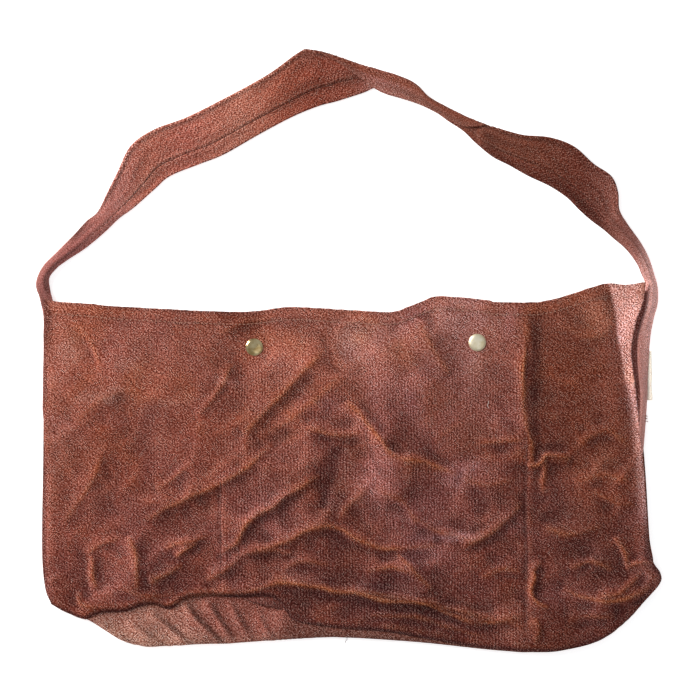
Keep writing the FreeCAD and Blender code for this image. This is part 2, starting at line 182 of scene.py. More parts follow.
# Colour: base colours at the sack's top and bottom, then patches as x, y, radius in x, radius in y, colour
# and strength. Each patch goes over the ones before it. Some patches are tone of the dye; some dark ones are
# painted shade in hollows and beside fold ridges, and some light ones are painted light on slopes that face
# the key lamp.
DYE_TOP = (150, 86, 70)
DYE_BOTTOM = (112, 57, 48)
PATCHES = [
    (-254, -10, 16, 90, (156, 96, 80), 0.7), (-200, 0, 60, 40, (146, 84, 70), 0.5),
    (-210, -55, 60, 40, (138, 76, 62), 0.6), (-140, -70, 50, 40, (132, 70, 56), 0.6),
    (-172, -20, 26, 40, (160, 96, 80), 0.7), (-212, -84, 26, 26, (120, 66, 54), 0.6),
    (-106, -22, 26, 40, (116, 62, 49), 0.75), (-54, -30, 16, 26, (156, 94, 80), 0.7),
    (-48, -85, 18, 26, (146, 84, 72), 0.6), (-34, -196, 40, 12, (92, 46, 40), 0.6),
    (-60, 2, 26, 26, (172, 106, 90), 0.7), (-48, -60, 26, 26, (152, 86, 72), 0.5),
    (25, 6, 44, 26, (172, 114, 102), 0.7), (100, 24, 46, 26, (168, 112, 102), 0.7),
    (100, -20, 34, 40, (152, 100, 90), 0.55), (-18, -114, 13, 34, (74, 33, 28), 0.9),
    (22, -100, 16, 40, (186, 118, 110), 0.95), (24, -36, 18, 26, (156, 96, 86), 0.6),
    (216, 32, 26, 18, (176, 112, 88), 0.7), (98, 30, 26, 12, (190, 132, 124), 0.6),
    (-210, -176, 20, 16, (160, 92, 78), 0.6), (-214, -216, 14, 10, (150, 86, 72), 0.6),
    (62, -50, 60, 40, (128, 76, 70), 0.6), (40, -70, 20, 20, (106, 56, 52), 0.5),
    (190, -20, 44, 60, (112, 56, 38), 0.85), (182, 40, 20, 14, (138, 76, 54), 0.6),
    (161, -15, 7, 62, (72, 33, 22), 0.8), (102, -108, 16, 9, (166, 122, 122), 0.55),
    (86, -157, 32, 5, (166, 122, 122), 0.6), (4, 8, 18, 15, (200, 146, 132), 0.6),
    (84, 22, 13, 14, (192, 136, 126), 0.6), (101, -14, 9, 12, (186, 132, 124), 0.5),
    (-103, -27, 16, 3, (186, 132, 120), 0.6), (-240, 6, 9, 12, (166, 118, 106), 0.5),
    (-212, -36, 20, 5, (166, 120, 108), 0.5), (-190, -14, 12, 8, (158, 108, 94), 0.4),
    (-150, -42, 30, 4, (162, 106, 90), 0.4), (205, -85, 40, 34, (124, 64, 46), 0.6),
    (140, -90, 30, 40, (106, 60, 58), 0.6), (190, -160, 46, 40, (90, 46, 40), 0.75),
    (165, -130, 24, 20, (84, 46, 48), 0.6), (-155, -192, 26, 22, (84, 40, 34), 0.8),
    (-142, -148, 24, 26, (96, 48, 40), 0.6), (-212, -140, 40, 40, (122, 68, 58), 0.5),
    (-200, -175, 30, 22, (142, 78, 66), 0.6), (-70, -150, 40, 30, (136, 78, 70), 0.5),
    (-70, -225, 60, 24, (122, 70, 60), 0.4), (14, -212, 80, 22, (78, 38, 34), 0.75),
    (60, -128, 50, 30, (126, 74, 70), 0.5), (60, -190, 26, 20, (124, 70, 66), 0.6),
    (90, -240, 60, 16, (82, 40, 36), 0.6), (140, -222, 20, 20, (124, 70, 58), 0.5),
    (220, -230, 46, 26, (92, 48, 42), 0.6), (160, -200, 18, 20, (112, 66, 64), 0.5),
    (258, -150, 9, 40, (206, 136, 126), 0.8), (262, -195, 12, 18, (150, 96, 90), 0.6),
    (236, 0, 12, 50, (150, 90, 76), 0.4), (-94, 26, 20, 10, (120, 64, 50), 0.7),
    (-92, -30, 14, 34, (108, 56, 44), 0.6), (-54, -18, 13, 30, (180, 112, 98), 0.6),
    (-52, -74, 14, 22, (168, 102, 88), 0.6), (22, -24, 18, 20, (184, 118, 108), 0.6),
    (62, -38, 16, 22, (172, 110, 104), 0.6), (-18, -112, 15, 40, (66, 28, 24), 0.75),
    (-16, -176, 16, 12, (82, 38, 34), 0.6), (66, -76, 14, 12, (96, 50, 46), 0.5),
    (136, -60, 9, 26, (90, 44, 40), 0.6), (176, -60, 12, 30, (92, 44, 34), 0.5),
    (60, -178, 14, 12, (160, 100, 94), 0.6), (60, -204, 14, 8, (134, 78, 70), 0.6),
    (20, -204, 16, 10, (64, 28, 26), 0.7), (84, -226, 30, 10, (70, 32, 30), 0.65),
    (-60, -228, 14, 9, (84, 42, 36), 0.5), (-94, -176, 14, 10, (150, 88, 78), 0.6),
    (-94, -202, 14, 9, (146, 84, 74), 0.7), (-172, -74, 14, 14, (152, 90, 74), 0.6),
    (-133, -124, 14, 10, (146, 84, 70), 0.5), (-133, -148, 14, 10, (98, 50, 42), 0.5),
    (-172, -196, 12, 14, (88, 42, 34), 0.5), (-249, -80, 10, 30, (164, 100, 84), 0.6),
    (137, -150, 14, 12, (138, 80, 76), 0.6), (176, -150, 14, 10, (72, 34, 30), 0.6),
    (176, -178, 12, 10, (114, 62, 56), 0.5), (215, -176, 14, 12, (72, 36, 30), 0.5),
    (215, 30, 14, 12, (186, 116, 90), 0.6), (98, 30, 14, 10, (186, 124, 112), 0.5),
    (250, -195, 10, 14, (150, 92, 82), 0.6), (137, -244, 18, 7, (150, 88, 74), 0.7),
    (-94, 28, 18, 9, (104, 50, 36), 0.6), (-172, -48, 14, 16, (156, 92, 78), 0.5),
    (-133, 0, 14, 30, (128, 74, 60), 0.5), (-168, -180, 14, 20, (90, 44, 38), 0.5),
    (20, 2, 16, 16, (200, 134, 126), 0.55), (22, -48, 12, 14, (112, 62, 58), 0.5),
    (20, -204, 18, 10, (58, 25, 24), 0.6), (-18, -200, 16, 10, (72, 34, 32), 0.5),
    (60, -226, 16, 8, (64, 28, 26), 0.5), (98, -100, 14, 12, (120, 68, 66), 0.5),
    (137, 30, 12, 12, (170, 110, 106), 0.5), (98, 34, 14, 8, (190, 130, 120), 0.5),
    (218, -98, 10, 14, (156, 96, 78), 0.6),
    (218, -124, 8, 12, (90, 42, 36), 0.5), (234, -176, 9, 9, (74, 34, 24), 0.5),
    (-94, 30, 20, 8, (106, 50, 36), 0.5), (56, 30, 14, 12, (160, 100, 92), 0.6),
    (-6, -84, 16, 9, (80, 38, 34), 0.6), (24, -112, 24, 20, (184, 116, 108), 0.5),
    (66, -118, 18, 8, (92, 46, 42), 0.5), (-18, -148, 14, 14, (86, 42, 38), 0.5),
    (-18, -202, 14, 8, (76, 36, 34), 0.5), (22, -202, 16, 8, (60, 26, 26), 0.6),
    (62, -224, 14, 7, (60, 26, 24), 0.6), (98, -226, 14, 8, (66, 30, 28), 0.6),
    (-58, -224, 12, 8, (78, 38, 34), 0.6), (-172, -226, 14, 5, (96, 48, 38), 0.5),
    (-20, -42, 12, 14, (166, 100, 88), 0.5), (60, -148, 14, 8, (100, 54, 52), 0.6),
    (-60, -128, 16, 10, (150, 92, 84), 0.4), (-174, -203, 16, 9, (96, 48, 40), 0.5),
    (-18, -124, 12, 16, (74, 32, 30), 0.5), (-94, 30, 18, 8, (112, 54, 40), 0.5),
    (22, -202, 18, 9, (72, 32, 30), 0.5), (60, -225, 18, 8, (74, 34, 30), 0.5),
    (98, -226, 18, 9, (84, 40, 34), 0.5), (-56, -226, 14, 8, (92, 46, 40), 0.5),
    (137, -150, 14, 10, (138, 82, 76), 0.5), (176, -150, 14, 10, (84, 42, 36), 0.5),
    (250, 34, 9, 12, (236, 186, 172), 0.6), (98, 32, 18, 10, (184, 122, 112), 0.5),
    (-94, -178, 12, 9, (140, 82, 74), 0.4), (-172, -74, 16, 12, (146, 86, 72), 0.4),
    (-16, -48, 12, 10, (164, 102, 92), 0.5), (136, -242, 16, 8, (140, 82, 68), 0.5)]
PALE_STRIP = (240, 178, 166)
CREST_DYE = (172, 100, 62)
# Painted shade for the hollows, and painted light and painted shade for slopes facing towards and away from
# the key lamp
PAINTED_HOLLOW_SHADE = (60, 27, 27)
PAINTED_LIT_SLOPE = (178, 112, 98)
PAINTED_SHADED_SLOPE = (92, 40, 28)
GUSSET_DYE = (176, 124, 106)

# The strap's ribs, in mm: outer and inner edge where the band lies flat. Where it is folded over, a rib has
# the free edge, which lies on top, then the fold, then the inner edge.
STRAP_RIBS = [
    [(-261, 2), (-254, 2)], [(-262, 25), (-254, 25)], [(-265.5, 43), (-255.5, 41)],
    [(-269, 57), (-259.5, 60)], [(-263.5, 71), (-253.5, 70)], [(-251.5, 83.5), (-244, 77.5)],
    [(-237, 98), (-228, 88)], [(-226, 110), (-211, 102)], [(-216.5, 118), (-199.5, 113)],
    [(-208.5, 134), (-186, 123)], [(-199.5, 152), (-168, 139)], [(-188, 175), (-155, 150)],
    [(-168, 189), (-129, 160.5)], [(-140, 199.5), (-109, 168.5)], [(-105, 217), (-80, 185)],
    [(-70.5, 236), (-51, 200.5)], [(-44, 255), (-28, 210)], [(-34, 257.5), (-13, 214)],
    [(-12, 248), (-19, 254.5), (0, 218)], [(5, 236), (-1, 248.5), (12, 222)],
    [(21.5, 224.5), (11, 244.5), (22, 226)], [(31, 220), (25, 240.5), (30, 224)],
    [(45, 216), (39, 236.5), (43, 220)], [(61, 210.5), (56, 228.5), (59, 213)],
    [(74, 204), (67, 217.5), (72, 206)], [(86, 197), (82, 209), (84, 197.5)],
    [(98, 192.5), (96, 202), (97, 189)], [(108, 192), (107, 197), (106, 180.5)],
    [(119, 192.5), (114, 173.5)], [(134, 188), (124, 166)], [(150, 184), (137, 159.5)],
    [(172, 182), (153, 150.5)], [(192, 174.5), (172, 141.5)], [(209, 159.5), (187, 131.5)],
    [(224, 149), (197, 121.5)], [(229.5, 136), (207, 112.5)], [(231, 120), (217, 105)],
    [(238, 107.5), (227, 96.5)], [(249, 92), (238, 87)], [(256, 79), (247, 75)], [(260, 67), (251, 66)],
    [(263.5, 54), (254.5, 56)], [(263.5, 40), (252, 37)], [(260, 27), (248.5, 20)], [(257, 10), (246, 5)],
    [(255, -20), (246.5, -18)], [(254.4, -40), (248.6, -36)], [(253.2, -60), (248, -55)],
    [(251.8, -78), (247.6, -74)], [(250.8, -88), (248, -86)]]
STRAP_WIDTH = 50.0
STRAP_THICK = 2.2
STRAP_LEVEL = 1.5
LAP_SEAM = 0.70
# The strap's dye along its length, by x in mm: where it lies flat, and then along the right-hand tail by y
STRAP_DYES = [
    (-265, (140, 84, 78)), (-237, (150, 88, 82)), (-200, (170, 106, 96)), (-176, (156, 90, 74)),
    (-140, (160, 90, 76)), (-95, (172, 106, 88)), (-60, (144, 76, 58)), (-25, (118, 58, 44)),
    (2, (128, 68, 54)), (25, (160, 102, 92)), (60, (144, 88, 74)), (100, (130, 72, 56)),
    (150, (112, 60, 45)), (200, (100, 48, 36)), (228, (130, 78, 67)), (245, (156, 98, 88)),
    (258, (236, 176, 166))]

STRAP_DUST = (176, 128, 112)
STRAP_UNDERSIDE = (122, 62, 44)
STRAP_LOW_EDGE = (92, 40, 30)
# Painted shadow on the dark side of a fold at the strap's left end
STRAP_PAINTED_SHADOW = (72, 34, 28)

# Other dyes
BACK_DYE = (118, 66, 55)
POCKET_DYE = (112, 62, 54)
SIDE_GUSSET_DYE = (128, 72, 64)
GUSSET_RED = (140, 80, 68)
LABEL_DYE = (250, 242, 226)
FRONT_HEM_THREAD = (188, 138, 116)
BACK_THREAD = (150, 104, 88)
POCKET_THREAD = (138, 88, 78)
STRAP_THREAD = (150, 100, 84)
FLECK_DYE = (226, 206, 198)
TAIL_DYE = (70, 34, 30)

# How much of red, green and blue the dyes above keep
FRONT_CAST = (1.0, 0.895, 0.875)
STRAP_CAST = (1.0, 0.94, 0.92)

# Metals: bright and tarnished colour, roughness
BRASS = ((226, 206, 160), (178, 150, 98), 0.12)
# Paler, rougher brass for the right cap: a painted highlight where its tilted dome catches the key lamp
PAINTED_HIGHLIGHT_BRASS = ((250, 240, 214), (222, 204, 160), 0.42)
STEEL = ((170, 168, 164), (110, 108, 104), 0.25)


# Numbers and lines

def linear(colour):
    """An everyday 0-255 colour as the renderer's linear values."""
    c = np.asarray(colour, float) / 255
    return np.where(c <= 0.04045, c / 12.92, ((c + 0.055) / 1.055) ** 2.4)


def ease(t):
    """A smooth step from 0 to 1 as t goes from 0 to 1."""
    t = np.clip(t, 0, 1)
    return t * t * (3 - 2 * t)


def toward(colour, dye, share):
    """Colours moved towards one dye by each place's share."""
    return colour + (linear(dye) - colour) * share[..., None]


def bell(away, width):
    """1 at no distance, falling smoothly to nothing within about twice the width."""
    return np.exp(-(away / width) ** 2)


def curve(points):
    """Many points along the smooth curve through a few."""
    p = np.asarray(points, float)
    p = np.vstack([2 * p[0] - p[1], p, 2 * p[-1] - p[-2]])
    t = np.linspace(0, 1, 20, endpoint=False)[:, None]
    pieces = []
    for a, b, c, d in zip(p, p[1:], p[2:], p[3:]):
        pieces.append(b + 0.5 * t * (c - a + t * (2 * a - 5 * b + 4 * c - d + t * (3 * b - a - 3 * c + d))))
    return np.vstack(pieces + [p[-2:-1]])


def spaced(points, count):
    """Evenly spaced points along the smooth curve through a few."""
    fine = curve(points)
    run = np.r_[0, np.cumsum(np.linalg.norm(np.diff(fine, axis=0), axis=1))]
    at = np.linspace(0, run[-1], count)
    return np.stack([np.interp(at, run, fine[:, k]) for k in range(fine.shape[1])], 1)


def patch(top, bottom, left, right):
    """A grid of points whose rim is four lines: rows from top to bottom, columns from left to right."""
    u = np.linspace(0, 1, len(top))[None, :, None]
    v = np.linspace(0, 1, len(left))[:, None, None]
    upper_corners = (1 - u) * (1 - v) * top[0] + u * (1 - v) * top[-1]
    corners = upper_corners + (1 - u) * v * bottom[0] + u * v * bottom[-1]
    return (1 - v) * top[None] + v * bottom[None] + (1 - u) * left[:, None] + u * right[:, None] - corners


def noise(x, y, size, seed):
    """A smooth random field from -1 to 1 with features about size across."""
    table = np.random.default_rng(SEED * 1000 + seed).uniform(-1, 1, (128, 128))
    turn = seed * 0.7
    gx = (x * math.cos(turn) - y * math.sin(turn)) / size + 640
    gy = (x * math.sin(turn) + y * math.cos(turn)) / size + 640
    ix = np.floor(gx).astype(int)
    iy = np.floor(gy).astype(int)
    fx = ease(gx - ix)
    fy = ease(gy - iy)
    low = table[ix % 128, iy % 128] * (1 - fx) + table[(ix + 1) % 128, iy % 128] * fx
    high = table[ix % 128, (iy + 1) % 128] * (1 - fx) + table[(ix + 1) % 128, (iy + 1) % 128] * fx
    return low * (1 - fy) + high * fy


def blotches(x, y, large, small):
    """Random patches from 0 to 1 in two sizes, each given as a size and a seed."""
    coarse, fine = [0.5 * np.clip(noise(x, y, size, seed), 0, 1) for size, seed in (large, small)]
    return (coarse + fine)[..., None]


def nearest(x, y, line):
    """Each place's distance to a line, its side (positive on the left hand), and how far along, 0 to 1."""
    best = np.full(x.shape, 1e9)
    side = np.zeros(x.shape)
    along = np.zeros(x.shape)
    spans = len(line) - 1
    for k in range(spans):
        a = line[k]
        d = line[k + 1] - a
        t = np.clip(((x - a[0]) * d[0] + (y - a[1]) * d[1]) / (d @ d), 0, 1)
        px = x - a[0] - t * d[0]
        py = y - a[1] - t * d[1]
        away = np.hypot(px, py)
        nearer = away < best
        best = np.where(nearer, away, best)
        side = np.where(nearer, d[0] * py - d[1] * px, side)
        along = np.where(nearer, (k + t) / spans, along)
    return best, side, along


# The front panel's surface

def warped(x, y):
    """Places shifted a little, so that no fold is perfectly smooth."""
    dx = 3.0 * noise(x, y, 34, 1) + 1.1 * noise(x, y, 13, 2)
    dy = 3.0 * noise(x, y, 34, 3) + 1.1 * noise(x, y, 13, 4)
    return x + dx, y + dy


def folds(x, y):
    """Height of all the fold ridges, and how much each place is on a crest."""
    wx, wy = warped(x, y)
    height = np.zeros(x.shape)
    crest = np.zeros(x.shape)
    for tall, gentle, steep, points in CREASES:
        line = spaced(points, 5 * len(points))
        reach = 3.2 * max(gentle, steep)
        near = ((wx > line[:, 0].min() - reach) & (wx < line[:, 0].max() + reach)
                & (wy > line[:, 1].min() - reach) & (wy < line[:, 1].max() + reach))
        away, side, along = nearest(wx[near], wy[near], line)
        width = np.where(side > 0, gentle, 0.7 * steep)
        end = np.sin(math.pi * along) ** 0.6
        height[near] += 1.4 * tall * end * np.exp(-(away / width) ** 1.2)
        line_strength = np.clip(tall / 3, 0, 1) ** 1.6 * end * bell(away, 0.1 * width + 0.9)
        crest[near] = np.maximum(crest[near], line_strength)
    return height, crest


def rumple(x, y):
    """Small random creases and soft waves."""
    wx, wy = warped(x, y)
    soft = 1.6 * noise(wx, wy, 58, 5) + 1.1 * noise(wx, wy, 28, 6)
    facets = 3.4 * (1 - np.abs(noise(wx, wy, 46, 7))) + 2.1 * (1 - np.abs(noise(wx, wy, 22, 8)))
    sharp = facets - 3.4 + 0.8 * (1 - np.abs(noise(wx, wy, 30, 13))) ** 5
    fine = 0.11 * noise(x, y, 6, 9) + 0.05 * noise(x, y, 3, 10)
    calm = 0.45 + 0.55 * ease((20 - y) / 120)
    return (soft + 0.6 * sharp) * calm + fine


def front_surface(x, y):
    """Top of the front panel in mm, how much each place is on a crest, and distance below the top edge."""
    ridges, crest = folds(x, y)
    below_top = nearest(x, y, spaced(TOP_EDGE, 120))[0]
    right_edge = nearest(x, y, spaced(RIGHT_EDGE, 60))[0] + 16 * ease((y + 90) / 30)
    to_edge = np.minimum(nearest(x, y, spaced(LEFT_EDGE, 60))[0], right_edge)
    to_edge = np.minimum(to_edge, 2.2 * nearest(x, y, spaced(BOTTOM_EDGE, 160))[0])
    lying = np.sqrt(1 - (1 - np.clip(to_edge / 16, 0, 1)) ** 2)
    relief = ridges + rumple(x, y) + 1.2 * ease(-y / 160) - 0.6
    relief = np.where(relief < 0, -1.2 * np.tanh(-relief / 1.2), relief)
    below_hem = 0.35 + 0.65 * ease(below_top / 24)
    z = FRONT_EDGE + (FRONT_TOP - FRONT_EDGE) * lying + relief * ease(to_edge / 9) * below_hem
    hem = ease((HEM_DEPTH - below_top) / 1.2)
    z = z + 0.4 * hem - 0.08 * bell(below_top - HEM_DEPTH, 1.2)
    for seam_x, start, end in ((POCKET_X[0] + 4, -104, -206), (POCKET_X[1] + 1, 30, -246)):
        on = ease((start - y) / 20) * ease((y - end) / 12)
        z = z - 0.5 * on * bell(x - seam_x - 1.5 * noise(x * 0, y, 40, 12), 1.3)
        z = z + 0.35 * on * bell(x - seam_x - 4, 2.6)
    pale_gap, pale_side, _ = nearest(x, y, spaced(PALE_FOLD, 40))
    beside = np.where(pale_side > 0, pale_gap / 26, -pale_gap / 30)
    strip = ease((y + 96) / 30)
    z = z + strip * (2.6 * ease(beside) - 1.5 * bell(beside, 0.35))
    for cx, cy in SNAPS.values():
        away = np.hypot(x - cx, y - cy)
        press = ease((SNAP_FLAT - away) / 10)
        z = z * (1 - press) + (FRONT_TOP - 0.05) * press
    return z, crest, below_top


def wear_and_painted_shading(colour, x, y, z, crest=0.0):
    """Dye rubbed off on the crests, with painted shade in the hollows, and painted light and painted shade on
    the slopes that face towards and away from the key lamp.
    """
    hollow = np.clip((z - blurred(z, 6)) / 0.6, -1, 1)
    soft = blurred(z, 1)
    slope = -0.8 * np.gradient(soft, GRID, axis=1) - 0.5 * np.gradient(soft, GRID, axis=0)
    # Painted light on slopes facing the key lamp, then painted shade on slopes facing away
    colour = toward(colour, PAINTED_LIT_SLOPE, 0.36 * np.clip(-slope / STEEP, 0, 1))
    colour = toward(colour, PAINTED_SHADED_SLOPE, 0.45 * np.clip(slope / STEEP, 0, 1))
    # Painted shade in the hollows between folds
    colour = toward(colour, PAINTED_HOLLOW_SHADE, 0.6 * np.clip(-hollow, 0, 1))
    crest_mask = np.clip(crest + 0.22 * np.clip(hollow, 0, 1), 0, 1) * (0.75 + 0.45 * noise(x, y, 12, 25))
    return toward(colour, CREST_DYE, 0.68 * np.clip(crest_mask, 0, 1))


def front_dye_and_painted_shading(x, y, z, crest, below_top):
    """Colour of each place on the front panel, with the strength of its ribs as a fourth value."""
    wx, wy = warped(x, y)
    fall = ease((45 - y) / 290)[..., None]
    colour = linear(DYE_TOP) * (1 - fall) + linear(DYE_BOTTOM) * fall
    mx = wx + 9 * noise(x, y, 30, 20)
    my = wy + 9 * noise(x, y, 30, 21)
    for cx, cy, rx, ry, dye, strength in PATCHES:
        mask = strength * np.exp(-(((mx - cx) / rx) ** 2 + ((my - cy) / ry) ** 2) ** 1.2)
        colour = toward(colour, dye, mask)
    # Crest wear, with painted shade in the hollows and painted light and shade on the slopes
    colour = wear_and_painted_shading(colour, x, y, z, crest * ease((60 - y) / 90))
    gap, side, _ = nearest(wx, y, spaced(PALE_FOLD, 40))
    inside = ease((np.where(side > 0, gap, -gap) + 1.5) / 3.5)
    pale = inside * (0.8 + 0.2 * noise(x, y, 7, 22)) * ease((y + 76) / 20)
    colour = toward(colour, PALE_STRIP, 0.95 * pale)
    # Paler along the right edge, down towards the strap's tail
    rim = nearest(x, y, spaced(RIGHT_EDGE, 60))[0]
    pale_rim = bell(rim, 5.5) * ease((170 + y) / 60) * ease((10 - y) / 30)
    colour = toward(colour, PALE_STRIP, 0.8 * pale_rim)
    mottle = 0.94 + 0.15 * noise(wx, wy, 24, 23) + 0.09 * noise(wx, wy, 9, 24) + 0.05 * noise(x, y, 4, 26)
    orange = blotches(wx, wy, (38, 27), (15, 28))
    mauve = blotches(wx, wy, (42, 29), (17, 32))
    colour = colour * (1 + orange * np.array([0.0, -0.12, -0.35])) * (1 + mauve * np.array([0.0, 0.06, 0.20]))
    # Darker right along the top edge
    top_edge_darkening = 1 - 0.25 * bell(below_top, 1.6)
    colour = colour * (mottle * top_edge_darkening)[..., None] * np.array(FRONT_CAST)
    in_pocket = ease((x - POCKET_X[0]) / 10) * ease((POCKET_X[1] - x) / 8) * ease((0 - y) / 30)
    return np.concatenate([np.clip(colour, 0, 1), (0.25 + 0.75 * in_pocket)[..., None]], -1)


def blurred(z, reach):
    """A grid averaged over its neighbours."""
    for axis in (0, 1):
        total = sum(np.roll(z, k, axis) for k in range(-reach, reach + 1))
        z = total / (2 * reach + 1)
    return z


# Meshes

def attribute(mesh, name, kind, values):
    """Give a mesh a named value at each of its points."""
    field = mesh.attributes.new(name, kind, "POINT")
    key = {"FLOAT_COLOR": "color", "FLOAT_VECTOR": "vector"}[kind]
    field.data.foreach_set(key, np.ascontiguousarray(values, np.float32).ravel())


def new_mesh(name, points, faces, dye, weave, material):
    """A smooth-shaded mesh object with its dye and its weave's coordinates; points and weave are in mm. On
    the front panel, the strap and the bottom gusset the dye also holds painted light and shade.
    """
    mesh = bpy.data.meshes.new(name)
    mesh.from_pydata((points * MM).tolist(), [], faces)
    mesh.update()
    mesh.polygons.foreach_set("use_smooth", [True] * len(mesh.polygons))
    attribute(mesh, "dye", "FLOAT_COLOR", dye)
    attribute(mesh, "weave", "FLOAT_VECTOR", weave)
    mesh.materials.append(material)
    thing = bpy.data.objects.new(name, mesh)
    bpy.context.scene.collection.objects.link(thing)
    return thing


def sheet_mesh(name, top, under, dye, weave, material):
    """A closed sheet with a rounded rim from two grids, whose columns run right and rows down as seen."""
    rows, cols, _ = top.shape
    count = rows * cols
    at = np.arange(count).reshape(rows, cols)
    a, b, c, d = at[:-1, :-1], at[:-1, 1:], at[1:, 1:], at[1:, :-1]
    faces = np.stack([a, d, c, b], -1).reshape(-1, 4)
    faces = np.vstack([faces, faces[:, ::-1] + count])
    rim = np.r_[at[:-1, 0], at[-1, :-1], at[:0:-1, -1], at[0, :0:-1]]
    inner = at[1:-1, 1:-1]
    inner = np.pad(inner, 1, mode="edge")
    inside = inner.ravel()[rim]
    top_flat = top.reshape(-1, 3)
    under_flat = under.reshape(-1, 3)
    middle = (top_flat[rim] + under_flat[rim]) / 2
    outward = top_flat[rim] - top_flat[inside]
    outward /= np.maximum(np.linalg.norm(outward, axis=1, keepdims=True), 1e-6)
    thick = np.linalg.norm(top_flat[rim] - under_flat[rim], axis=1, keepdims=True)
    middle = middle + outward * thick * 0.35
    ring = 2 * count + np.arange(len(rim))
    after = np.roll(ring, -1)
    rim_after = np.roll(rim, -1)
    faces = np.vstack([faces, np.stack([rim_after, rim, ring, after], -1),
                       np.stack([after, ring, rim + count, rim_after + count], -1)])
    points = np.vstack([top_flat, under_flat, middle])
    flat_dye = dye.reshape(-1, 4)
    flat_weave = weave.reshape(-1, 3)
    return new_mesh(name, points, faces.tolist(), np.vstack([flat_dye, flat_dye, flat_dye[rim]]),
                    np.vstack([flat_weave, flat_weave, flat_weave[rim]]), material)


def thickened(middle, thick):
    """The two faces of a sheet from the grid of its middle."""
    across = np.gradient(middle, axis=1)
    down = -np.gradient(middle, axis=0)
    normal = np.cross(across, down)
    normal /= np.maximum(np.linalg.norm(normal, axis=-1, keepdims=True), 1e-9)
    half = normal * np.asarray(thick)[..., None] / 2 if np.ndim(thick) else normal * thick / 2
    return middle + half, middle - half


def grid_weave(grid):
    """Weave coordinates in mm from the distances along a grid's rows and columns."""
    across = np.cumsum(np.linalg.norm(np.diff(grid, axis=1, prepend=grid[:, :1]), axis=-1), axis=1)
    down = np.cumsum(np.linalg.norm(np.diff(grid, axis=0, prepend=grid[:1]), axis=-1), axis=0)
    return np.stack([across, down, across * 0], -1)


def tinted(grid, dye, seed, rib=0.2, spread=0.12):
    """One dye with mottling over a grid."""
    x, y = grid[..., 0], grid[..., 1]
    mottle = 1 + spread * noise(x, y, 26, seed) + spread * noise(x, y, 9, seed + 1)
    mottle = mottle + 0.07 * noise(x, y, 3.5, seed + 2)
    colour = linear(dye) * mottle[..., None]
    return np.concatenate([np.clip(colour, 0, 1), np.full(x.shape + (1,), rib)], -1)


def stitches(name, line, dye, material, pitch=3.6, long=2.6, radius=0.33):
    """Short threads end to end along a 3-D line in mm: rounded stitches whose ends dip into the cloth."""
    run = np.r_[0, np.cumsum(np.linalg.norm(np.diff(line, axis=0), axis=1))]
    at = np.arange(pitch / 2, run[-1] - pitch / 2, pitch)
    centre = np.stack([np.interp(at, run, line[:, k]) for k in range(3)], 1)
    ahead = np.stack([np.interp(at + 0.5, run, line[:, k]) for k in range(3)], 1) - centre
    ahead /= np.linalg.norm(ahead, axis=1, keepdims=True)
    side = np.cross([0, 0, 1.0], ahead)
    side /= np.linalg.norm(side, axis=1, keepdims=True)
    up = np.cross(ahead, side)
    sides = 6
    stations = np.array([-1, -0.8, -0.3, 0.3, 0.8, 1])
    bulge = np.array([0.35, 0.8, 1, 1, 0.8, 0.35])
    angle = np.arange(sides) * 2 * math.pi / sides
    shape = np.stack([np.repeat(stations, sides), np.outer(bulge, np.cos(angle)).ravel(),
                      (np.outer(bulge, np.sin(angle)) - 0.9 * stations[:, None] ** 2).ravel()], 1)
    points = (centre[:, None] + shape[None, :, :1] * ahead[:, None] * long / 2
              + shape[None, :, 1:2] * side[:, None] * radius + shape[None, :, 2:] * up[:, None] * radius)
    size = len(shape)
    faces = []
    for k in range(len(stations) - 1):
        for j in range(sides):
            n = (j + 1) % sides
            faces.append([k * sides + j, k * sides + n, (k + 1) * sides + n, (k + 1) * sides + j])
    caps = [list(range(sides))[::-1], list(range(size - sides, size))]
    everything = []
    for i in range(len(centre)):
        everything += [[v + i * size for v in face] for face in faces + caps]
    flat = points.reshape(-1, 3)
    colour = np.tile(np.r_[linear(dye), 0.0], (len(flat), 1))
    return new_mesh(name, flat, everything, colour, flat, material)


# Materials

class Nodes:
    """A short way to add and join shader nodes."""

    def __init__(self, name):
        self.material = bpy.data.materials.new(name)
        self.material.use_nodes = True
        self.tree = self.material.node_tree
        self.shader = self.tree.nodes["Principled BSDF"]

    def add(self, kind, **settings):
        node = self.tree.nodes.new(kind)
        for key, value in settings.items():
            setattr(node, key, value)
        return node

    def join(self, source, target):
        self.tree.links.new(source, target)

    def maths(self, operation, a, b=None, c=None):
        node = self.add("ShaderNodeMath", operation=operation)
        for slot, value in zip(node.inputs, (a, b, c)):
            if value is None:
                continue
            if isinstance(value, (int, float)):
                slot.default_value = value
            else:
                self.join(value, slot)
        return node.outputs[0]

    def noise(self, vector, scale, detail=3.0, roughness=0.6):
        node = self.add("ShaderNodeTexNoise")
        self.join(vector, node.inputs["Vector"])
        node.inputs["Scale"].default_value = scale
        node.inputs["Detail"].default_value = detail
        node.inputs["Roughness"].default_value = roughness
        return node.outputs["Fac"]

    def attribute(self, name):
        """A value that the mesh carries at each place."""
        return self.add("ShaderNodeAttribute", attribute_name=name).outputs

    def bump(self, height, strength, distance):
        """Tilt the shader's normal by a height, over a distance in metres."""
        node = self.add("ShaderNodeBump")
        node.inputs["Strength"].default_value = strength
        node.inputs["Distance"].default_value = distance
        self.join(height, node.inputs["Height"])
        self.join(node.outputs[0], self.shader.inputs["Normal"])


